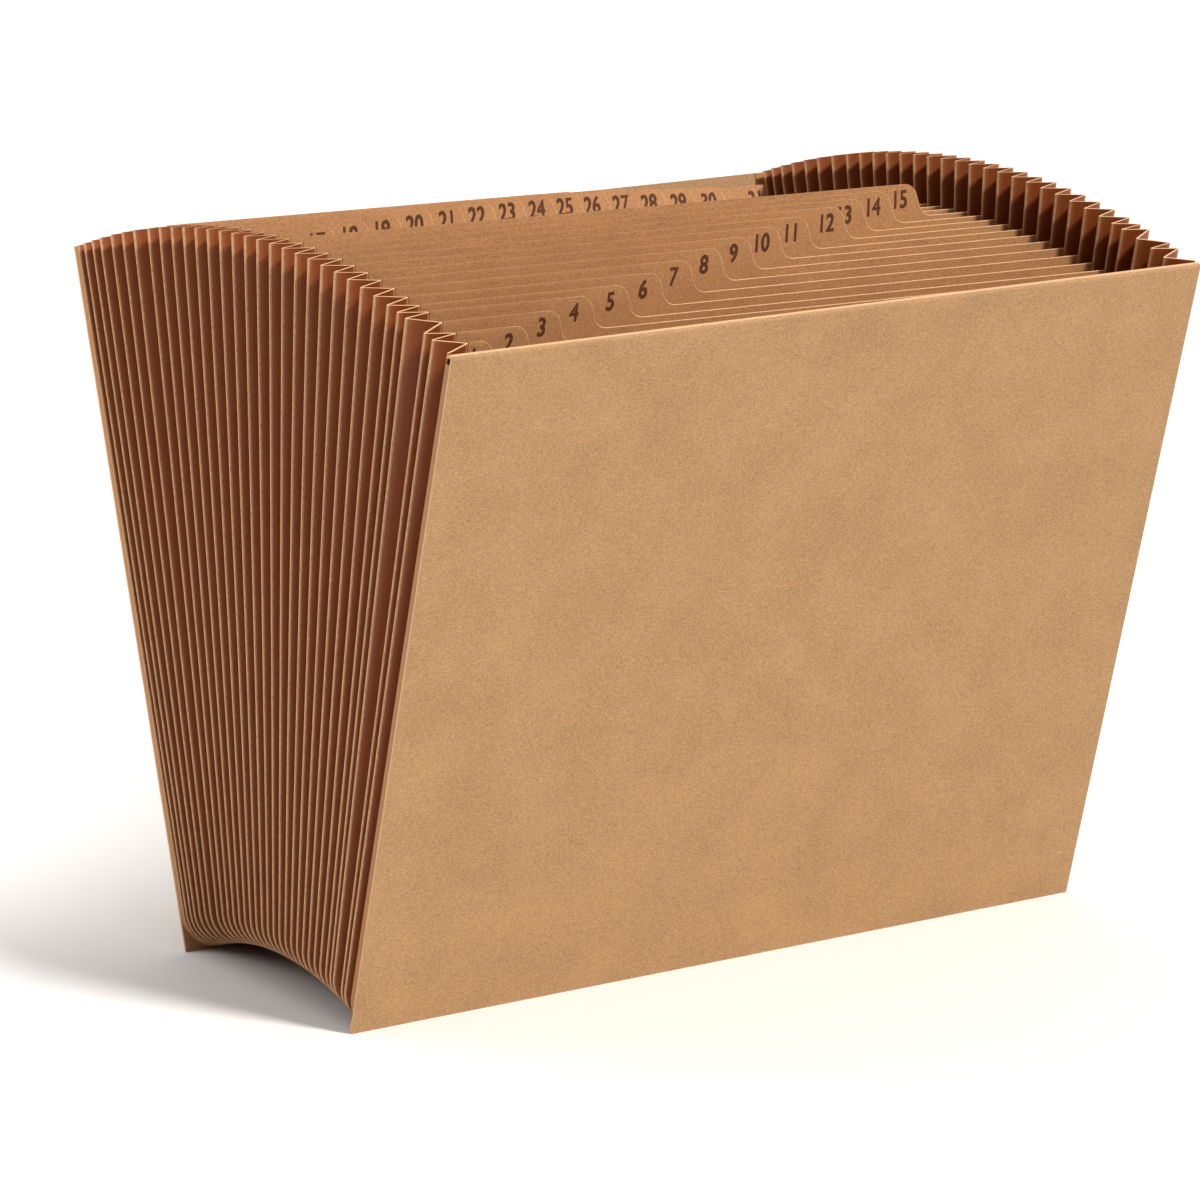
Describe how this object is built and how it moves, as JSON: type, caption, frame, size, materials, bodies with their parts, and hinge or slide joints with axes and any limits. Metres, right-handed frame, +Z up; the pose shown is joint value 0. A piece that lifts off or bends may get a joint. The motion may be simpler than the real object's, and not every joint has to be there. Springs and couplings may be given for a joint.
{
  "type": "accordion file folder",
  "caption": "Open-topped accordion file of brown kraft paper with stiff covers, stepped numbered dividers and pleated sides and bottom that fan open.",
  "frame": {"origin": "centre of the footprint on the surface it stands on", "axes": "+X along the width to the reader's right, -Y to the front cover, +Z up"},
  "size_m": [0.3048, 0.2556, 0.2644],
  "materials": {
    "cover_kraft": "matte",
    "divider_kraft": "matte",
    "bellows_kraft": "matte"
  },
  "bodies": {
    "middle_divider": {"divider_16": "divider_kraft", "bellows": "bellows_kraft"},
    "divider_01": {"divider_01": "divider_kraft"},
    "divider_02": {"divider_02": "divider_kraft"},
    "divider_03": {"divider_03": "divider_kraft"},
    "divider_04": {"divider_04": "divider_kraft"},
    "divider_05": {"divider_05": "divider_kraft"},
    "divider_06": {"divider_06": "divider_kraft"},
    "divider_07": {"divider_07": "divider_kraft"},
    "divider_08": {"divider_08": "divider_kraft"},
    "divider_09": {"divider_09": "divider_kraft"},
    "divider_10": {"divider_10": "divider_kraft"},
    "divider_11": {"divider_11": "divider_kraft"},
    "divider_12": {"divider_12": "divider_kraft"},
    "divider_13": {"divider_13": "divider_kraft"},
    "divider_14": {"divider_14": "divider_kraft"},
    "divider_15": {"divider_15": "divider_kraft"},
    "divider_17": {"divider_17": "divider_kraft"},
    "divider_18": {"divider_18": "divider_kraft"},
    "divider_19": {"divider_19": "divider_kraft"},
    "divider_20": {"divider_20": "divider_kraft"},
    "divider_21": {"divider_21": "divider_kraft"},
    "divider_22": {"divider_22": "divider_kraft"},
    "divider_23": {"divider_23": "divider_kraft"},
    "divider_24": {"divider_24": "divider_kraft"},
    "divider_25": {"divider_25": "divider_kraft"},
    "divider_26": {"divider_26": "divider_kraft"},
    "divider_27": {"divider_27": "divider_kraft"},
    "divider_28": {"divider_28": "divider_kraft"},
    "divider_29": {"divider_29": "divider_kraft"},
    "divider_30": {"divider_30": "divider_kraft"},
    "divider_31": {"divider_31": "divider_kraft"},
    "front": {"front_cover": "cover_kraft", "front_flaps": "bellows_kraft"},
    "back": {"back_cover": "cover_kraft", "back_flaps": "bellows_kraft"}
  },
  "joints": [
    {"name": "pocket_16", "type": "hinge", "parent": "middle_divider", "child": "divider_15", "pos_m": [0, -0.00052, -0.11981], "axis": [1, 0, 0], "range_deg": [-1.08, 1.79], "deforming": ["bellows"]},
    {"name": "pocket_15", "type": "hinge", "parent": "divider_15", "child": "divider_14", "pos_m": [0, -0.00182, -0.11983], "axis": [1, 0, 0], "range_deg": [-1.08, 1.79], "deforming": ["bellows"]},
    {"name": "pocket_14", "type": "hinge", "parent": "divider_14", "child": "divider_13", "pos_m": [0, -0.00312, -0.11988], "axis": [1, 0, 0], "range_deg": [-1.08, 1.79], "deforming": ["bellows"]},
    {"name": "pocket_13", "type": "hinge", "parent": "divider_13", "child": "divider_12", "pos_m": [0, -0.00442, -0.11995], "axis": [1, 0, 0], "range_deg": [-1.08, 1.79], "deforming": ["bellows"]},
    {"name": "pocket_12", "type": "hinge", "parent": "divider_12", "child": "divider_11", "pos_m": [0, -0.00571, -0.12005], "axis": [1, 0, 0], "range_deg": [-1.08, 1.79], "deforming": ["bellows"]},
    {"name": "pocket_11", "type": "hinge", "parent": "divider_11", "child": "divider_10", "pos_m": [0, -0.00701, -0.12017], "axis": [1, 0, 0], "range_deg": [-1.08, 1.79], "deforming": ["bellows"]},
    {"name": "pocket_10", "type": "hinge", "parent": "divider_10", "child": "divider_09", "pos_m": [0, -0.0083, -0.12031], "axis": [1, 0, 0], "range_deg": [-1.08, 1.79], "deforming": ["bellows"]},
    {"name": "pocket_09", "type": "hinge", "parent": "divider_09", "child": "divider_08", "pos_m": [0, -0.00959, -0.12048], "axis": [1, 0, 0], "range_deg": [-1.08, 1.79], "deforming": ["bellows"]},
    {"name": "pocket_08", "type": "hinge", "parent": "divider_08", "child": "divider_07", "pos_m": [0, -0.01087, -0.12067], "axis": [1, 0, 0], "range_deg": [-1.08, 1.79], "deforming": ["bellows"]},
    {"name": "pocket_07", "type": "hinge", "parent": "divider_07", "child": "divider_06", "pos_m": [0, -0.01216, -0.12089], "axis": [1, 0, 0], "range_deg": [-1.08, 1.79], "deforming": ["bellows"]},
    {"name": "pocket_06", "type": "hinge", "parent": "divider_06", "child": "divider_05", "pos_m": [0, -0.01526, -0.11145], "axis": [1, 0, 0], "range_deg": [-0.94, 2], "deforming": ["bellows"]},
    {"name": "pocket_05", "type": "hinge", "parent": "divider_05", "child": "divider_04", "pos_m": [0, -0.02125, -0.08886], "axis": [1, 0, 0], "range_deg": [-0.73, 2.41], "deforming": ["bellows"]},
    {"name": "pocket_04", "type": "hinge", "parent": "divider_04", "child": "divider_03", "pos_m": [0, -0.0154, -0.12155], "axis": [1, 0, 0], "range_deg": [-1.08, 1.79], "deforming": ["bellows"]},
    {"name": "pocket_03", "type": "hinge", "parent": "divider_03", "child": "divider_02", "pos_m": [0, -0.01667, -0.12186], "axis": [1, 0, 0], "range_deg": [-1.08, 1.79], "deforming": ["bellows"]},
    {"name": "pocket_02", "type": "hinge", "parent": "divider_02", "child": "divider_01", "pos_m": [0, -0.0204, -0.11265], "axis": [1, 0, 0], "range_deg": [-0.94, 2], "deforming": ["bellows"]},
    {"name": "pocket_01", "type": "hinge", "parent": "divider_01", "child": "front", "pos_m": [0, -0.02007, -0.11775], "axis": [1, 0, 0], "range_deg": [-0.62, 0.81], "deforming": ["bellows"]},
    {"name": "pocket_17", "type": "hinge", "parent": "middle_divider", "child": "divider_17", "pos_m": [0, 0.00078, -0.11981], "axis": [-1, 0, 0], "range_deg": [-1.08, 1.79], "deforming": ["bellows"]},
    {"name": "pocket_18", "type": "hinge", "parent": "divider_17", "child": "divider_18", "pos_m": [0, 0.00208, -0.11984], "axis": [-1, 0, 0], "range_deg": [-1.08, 1.79], "deforming": ["bellows"]},
    {"name": "pocket_19", "type": "hinge", "parent": "divider_18", "child": "divider_19", "pos_m": [0, 0.00338, -0.11989], "axis": [-1, 0, 0], "range_deg": [-1.08, 1.79], "deforming": ["bellows"]},
    {"name": "pocket_20", "type": "hinge", "parent": "divider_19", "child": "divider_20", "pos_m": [0, 0.00468, -0.11997], "axis": [-1, 0, 0], "range_deg": [-1.08, 1.79], "deforming": ["bellows"]},
    {"name": "pocket_21", "type": "hinge", "parent": "divider_20", "child": "divider_21", "pos_m": [0, 0.00597, -0.12007], "axis": [-1, 0, 0], "range_deg": [-1.08, 1.79], "deforming": ["bellows"]},
    {"name": "pocket_22", "type": "hinge", "parent": "divider_21", "child": "divider_22", "pos_m": [0, 0.00727, -0.12019], "axis": [-1, 0, 0], "range_deg": [-1.08, 1.79], "deforming": ["bellows"]},
    {"name": "pocket_23", "type": "hinge", "parent": "divider_22", "child": "divider_23", "pos_m": [0, 0.00856, -0.12034], "axis": [-1, 0, 0], "range_deg": [-1.08, 1.79], "deforming": ["bellows"]},
    {"name": "pocket_24", "type": "hinge", "parent": "divider_23", "child": "divider_24", "pos_m": [0, 0.00985, -0.12052], "axis": [-1, 0, 0], "range_deg": [-1.08, 1.79], "deforming": ["bellows"]},
    {"name": "pocket_25", "type": "hinge", "parent": "divider_24", "child": "divider_25", "pos_m": [0, 0.00997, -0.12829], "axis": [-1, 0, 0], "range_deg": [-1.22, 1.59], "deforming": ["bellows"]},
    {"name": "pocket_26", "type": "hinge", "parent": "divider_25", "child": "divider_26", "pos_m": [0, 0.01125, -0.12851], "axis": [-1, 0, 0], "range_deg": [-1.22, 1.59], "deforming": ["bellows"]},
    {"name": "pocket_27", "type": "hinge", "parent": "divider_26", "child": "divider_27", "pos_m": [0, 0.01401, -0.12125], "axis": [-1, 0, 0], "range_deg": [-1.08, 1.79], "deforming": ["bellows"]},
    {"name": "pocket_28", "type": "hinge", "parent": "divider_27", "child": "divider_28", "pos_m": [0, 0.01528, -0.12152], "axis": [-1, 0, 0], "range_deg": [-1.08, 1.79], "deforming": ["bellows"]},
    {"name": "pocket_29", "type": "hinge", "parent": "divider_28", "child": "divider_29", "pos_m": [0, 0.01881, -0.11224], "axis": [-1, 0, 0], "range_deg": [-0.94, 2], "deforming": ["bellows"]},
    {"name": "pocket_30", "type": "hinge", "parent": "divider_29", "child": "divider_30", "pos_m": [0, 0.02332, -0.09984], "axis": [-1, 0, 0], "range_deg": [-0.81, 2.24], "deforming": ["bellows"]},
    {"name": "pocket_31", "type": "hinge", "parent": "divider_30", "child": "divider_31", "pos_m": [0, 0.02825, -0.08653], "axis": [-1, 0, 0], "range_deg": [-0.7, 2.47], "deforming": ["bellows"]},
    {"name": "pocket_32", "type": "hinge", "parent": "divider_31", "child": "back", "pos_m": [0, 0.04239, -0.04043], "axis": [-1, 0, 0], "range_deg": [-0.3, 1.52], "deforming": ["bellows"]}
  ]
}
